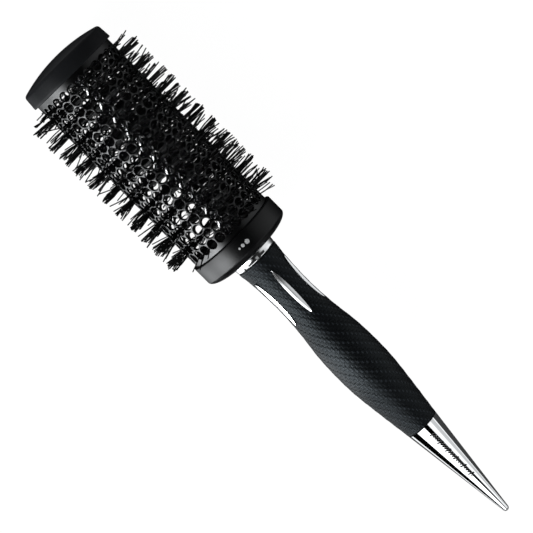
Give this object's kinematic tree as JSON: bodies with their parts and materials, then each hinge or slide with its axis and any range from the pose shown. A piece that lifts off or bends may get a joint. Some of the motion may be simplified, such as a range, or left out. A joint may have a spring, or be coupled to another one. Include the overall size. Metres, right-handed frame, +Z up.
{
  "type": "round barrel brush",
  "caption": "Round hair brush with a perforated metal barrel, nylon bristles, a soft rubber grip and a pointed chrome tip for parting hair.",
  "frame": {"origin": "on the surface the brush lies on, under the middle of its bounding box", "axes": "+X along the brush from the end cap to the tip, +Z up; the brush lies level on its bristles"},
  "size_m": [0.255, 0.054, 0.0538],
  "materials": {
    "cap_plastic": "satin black, moulded",
    "barrel_metal": "gloss black coating on punched metal",
    "bristle_nylon": "black nylon filament",
    "wire_steel": "drawn steel",
    "crimp_brass": "drawn brass",
    "hub_plastic": "plain moulding",
    "chrome_plate": "bright chrome plate",
    "grip_rubber": "soft black rubber with a woven relief"
  },
  "bodies": {
    "root": {"end_cap": "cap_plastic", "end_hub": "hub_plastic", "end_ferrule": "crimp_brass", "barrel": "barrel_metal", "core_wire_a": "wire_steel", "core_wire_b": "wire_steel", "bristle_turn_01": "bristle_nylon", "bristle_turn_02": "bristle_nylon", "bristle_turn_03": "bristle_nylon", "bristle_turn_04": "bristle_nylon", "bristle_turn_05": "bristle_nylon", "bristle_turn_06": "bristle_nylon", "bristle_turn_07": "bristle_nylon", "bristle_turn_08": "bristle_nylon", "bristle_turn_09": "bristle_nylon", "bristle_turn_10": "bristle_nylon", "bristle_turn_11": "bristle_nylon", "bristle_turn_12": "bristle_nylon", "bristle_turn_13": "bristle_nylon", "bristle_turn_14": "bristle_nylon", "bristle_turn_15": "bristle_nylon", "bristle_turn_16": "bristle_nylon", "bristle_turn_17": "bristle_nylon", "bristle_turn_18": "bristle_nylon", "bristle_turn_19": "bristle_nylon", "bristle_turn_20": "bristle_nylon", "bristle_turn_21": "bristle_nylon", "base_hub": "hub_plastic", "base_ferrule": "crimp_brass", "collar": "cap_plastic", "neck_sleeve": "chrome_plate", "handle_core": "hub_plastic", "grip": "grip_rubber", "tip": "chrome_plate", "tip_stud": "wire_steel"}
  },
  "joints": []
}
